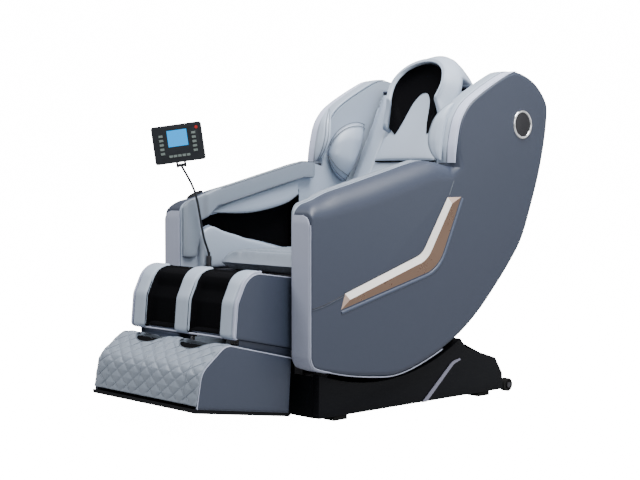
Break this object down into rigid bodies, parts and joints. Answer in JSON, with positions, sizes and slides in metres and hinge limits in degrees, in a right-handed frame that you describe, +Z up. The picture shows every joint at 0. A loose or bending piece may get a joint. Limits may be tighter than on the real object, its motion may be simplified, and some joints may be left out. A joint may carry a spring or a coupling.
{
  "type": "massage chair",
  "caption": "Full-body massage chair: padded capsule that rocks on a wheeled base, lifting leg rest with calf and foot wells, flip-over head pillow, and a touch-key remote on a stalk.",
  "frame": {"origin": "centre of the bounding box's bottom face, on the floor between the feet", "axes": "+Z up, -Y towards the sitter's feet (front), +X towards the sitter's left"},
  "size_m": [0.77, 1.5575, 1.2378],
  "materials": {
    "shell_leather": "satin dark blue-grey leatherette",
    "pad_leather": "satin light grey leatherette",
    "black_fabric": "matt black elastic fabric",
    "gold_trim": "satin rose-gold plating",
    "chrome": "polished",
    "black_plastic": "fine-grained black",
    "grey_plastic": "satin grey",
    "gloss_black": "gloss black",
    "frame_steel": "black powder coat",
    "bright_steel": "brushed",
    "rubber": "matt",
    "screen": "lit blue display window",
    "red_plastic": "gloss",
    "mesh": "black perforated mesh"
  },
  "bodies": {
    "base": {"base_frame": "frame_steel", "left_skirt": "black_plastic", "right_skirt": "black_plastic", "skirt_stripes": "grey_plastic", "front_cover": "black_plastic", "base_rear_cover": "black_plastic", "feet": "rubber", "tilt_actuator": "black_plastic", "power_inlet": "gloss_black"},
    "rocker_switch": {"power_switch": "red_plastic"},
    "front_rollers": {"front_rail_rollers": "rubber"},
    "rear_rollers": {"rear_rail_rollers": "rubber"},
    "drive_rod": {"tilt_rod": "bright_steel"},
    "wheel_left": {"left_wheel": "rubber"},
    "wheel_right": {"right_wheel": "rubber"},
    "seat_shell": {"seat_frame": "frame_steel", "seat_cushion": "pad_leather", "left_side_shell": "shell_leather", "right_side_shell": "shell_leather", "left_inner_board": "shell_leather", "right_inner_board": "shell_leather", "arm_front_bands": "pad_leather", "wing_edge_bands": "pad_leather", "side_strips": "gold_trim", "speaker_rings": "chrome", "speaker_grilles": "mesh", "left_arm_pad": "pad_leather", "right_arm_pad": "pad_leather", "left_arm_flap": "pad_leather", "right_arm_flap": "pad_leather", "left_slot_liner": "black_fabric", "right_slot_liner": "black_fabric", "left_lower_pad": "pad_leather", "right_lower_pad": "pad_leather", "left_shoulder_bag": "pad_leather", "right_shoulder_bag": "pad_leather", "back_frame": "frame_steel", "back_pad": "pad_leather", "rear_cover": "shell_leather"},
    "leg_rest": {"calf_frame": "frame_steel", "calf_shell": "shell_leather", "calf_ridges": "pad_leather", "calf_wells": "black_fabric"},
    "foot_unit": {"foot_shell": "shell_leather", "foot_pad": "pad_leather", "foot_wells": "black_fabric", "foot_plate": "black_plastic", "foot_runners": "bright_steel"},
    "head_pillow": {"pillow_hood": "pad_leather", "pillow_bib": "pad_leather", "pillow_lining": "black_fabric"},
    "massage_carriage": {"carriage": "frame_steel"},
    "roller_arms": {"massage_arms": "grey_plastic"},
    "upper_rollers": {"upper_massage_rollers": "rubber"},
    "lower_rollers": {"lower_massage_rollers": "rubber"},
    "remote_stalk": {"remote_stalk": "gloss_black"},
    "remote": {"tablet_case": "gloss_black", "tablet_screen": "screen", "key_pad": "grey_plastic"},
    "remote_power_key": {"power_key": "red_plastic"}
  },
  "joints": [
    {"name": "capsule_tilt", "type": "hinge", "parent": "base", "child": "seat_shell", "pos_m": [0, -0.053, 0.9], "axis": [-1, 0, 0], "range_deg": [0, 22]},
    {"name": "tilt_rod_slide", "type": "slide", "parent": "base", "child": "drive_rod", "axis": [0, -0.9455, -0.3256], "range_m": [0, 0.22383]},
    {"name": "front_roller_spin", "type": "hinge", "parent": "base", "child": "front_rollers", "pos_m": [0, -0.20376, 0.19074], "axis": [1, 0, 0], "range_deg": [0, 620]},
    {"name": "rear_roller_spin", "type": "hinge", "parent": "base", "child": "rear_rollers", "pos_m": [0, 0.12242, 0.19644], "axis": [1, 0, 0], "range_deg": [0, 620]},
    {"name": "left_wheel_spin", "type": "hinge", "parent": "base", "child": "wheel_left", "pos_m": [0.318, 0.621, 0.026], "axis": [1, 0, 0], "continuous": true},
    {"name": "right_wheel_spin", "type": "hinge", "parent": "base", "child": "wheel_right", "pos_m": [-0.318, 0.621, 0.026], "axis": [1, 0, 0], "continuous": true},
    {"name": "power_rocker", "type": "hinge", "parent": "base", "child": "rocker_switch", "pos_m": [0.15, 0.5775, 0.059], "axis": [1, 0, 0], "range_deg": [-8, 8]},
    {"name": "leg_lift", "type": "hinge", "parent": "seat_shell", "child": "leg_rest", "pos_m": [0, -0.377, 0.432], "axis": [-1, 0, 0], "range_deg": [0, 75]},
    {"name": "foot_extend", "type": "slide", "parent": "leg_rest", "child": "foot_unit", "axis": [0, -0.1392, -0.9903], "range_m": [0, 0.1402]},
    {"name": "pillow_flip", "type": "hinge", "parent": "seat_shell", "child": "head_pillow", "pos_m": [0, 0.67608, 1.08114], "axis": [-1, 0, 0], "range_deg": [0, 90]},
    {"name": "carriage_travel", "type": "slide", "parent": "seat_shell", "child": "massage_carriage", "axis": [0, 0.454, 0.891], "range_m": [0, 0.43]},
    {"name": "roller_arm_swing", "type": "hinge", "parent": "massage_carriage", "child": "roller_arms", "pos_m": [0, 0.3917, 0.55825], "axis": [1, 0, 0], "range_deg": [-8, 8]},
    {"name": "upper_roller_spin", "type": "hinge", "parent": "roller_arms", "child": "upper_rollers", "pos_m": [0, 0.38606, 0.63969], "axis": [1, 0, 0], "continuous": true},
    {"name": "lower_roller_spin", "type": "hinge", "parent": "roller_arms", "child": "lower_rollers", "pos_m": [0, 0.3225, 0.51495], "axis": [1, 0, 0], "continuous": true},
    {"name": "stalk_swivel", "type": "hinge", "parent": "seat_shell", "child": "remote_stalk", "pos_m": [-0.251, -0.307, 0.48], "axis": [0, 0, 1], "range_deg": [0, 75]},
    {"name": "remote_tilt", "type": "hinge", "parent": "remote_stalk", "child": "remote", "pos_m": [-0.25329, -0.423, 0.82573], "axis": [0.6365, 0.7586, 0.1392], "range_deg": [-25, 25]},
    {"name": "remote_key_press", "type": "slide", "parent": "remote", "child": "remote_power_key", "axis": [-0.766, 0.6428, 0], "range_m": [0, 0.0015], "stiffness_N_per_m": 400, "springref_m": -0.001}
  ],
  "couplings": [
    {"joint": "tilt_rod_slide", "follows": "capsule_tilt", "m_per_rad": 0.58241},
    {"joint": "front_roller_spin", "follows": "capsule_tilt", "ratio": 28},
    {"joint": "rear_roller_spin", "follows": "capsule_tilt", "ratio": 28},
    {"joint": "foot_extend", "follows": "leg_lift", "m_per_rad": 0.10695}
  ]
}
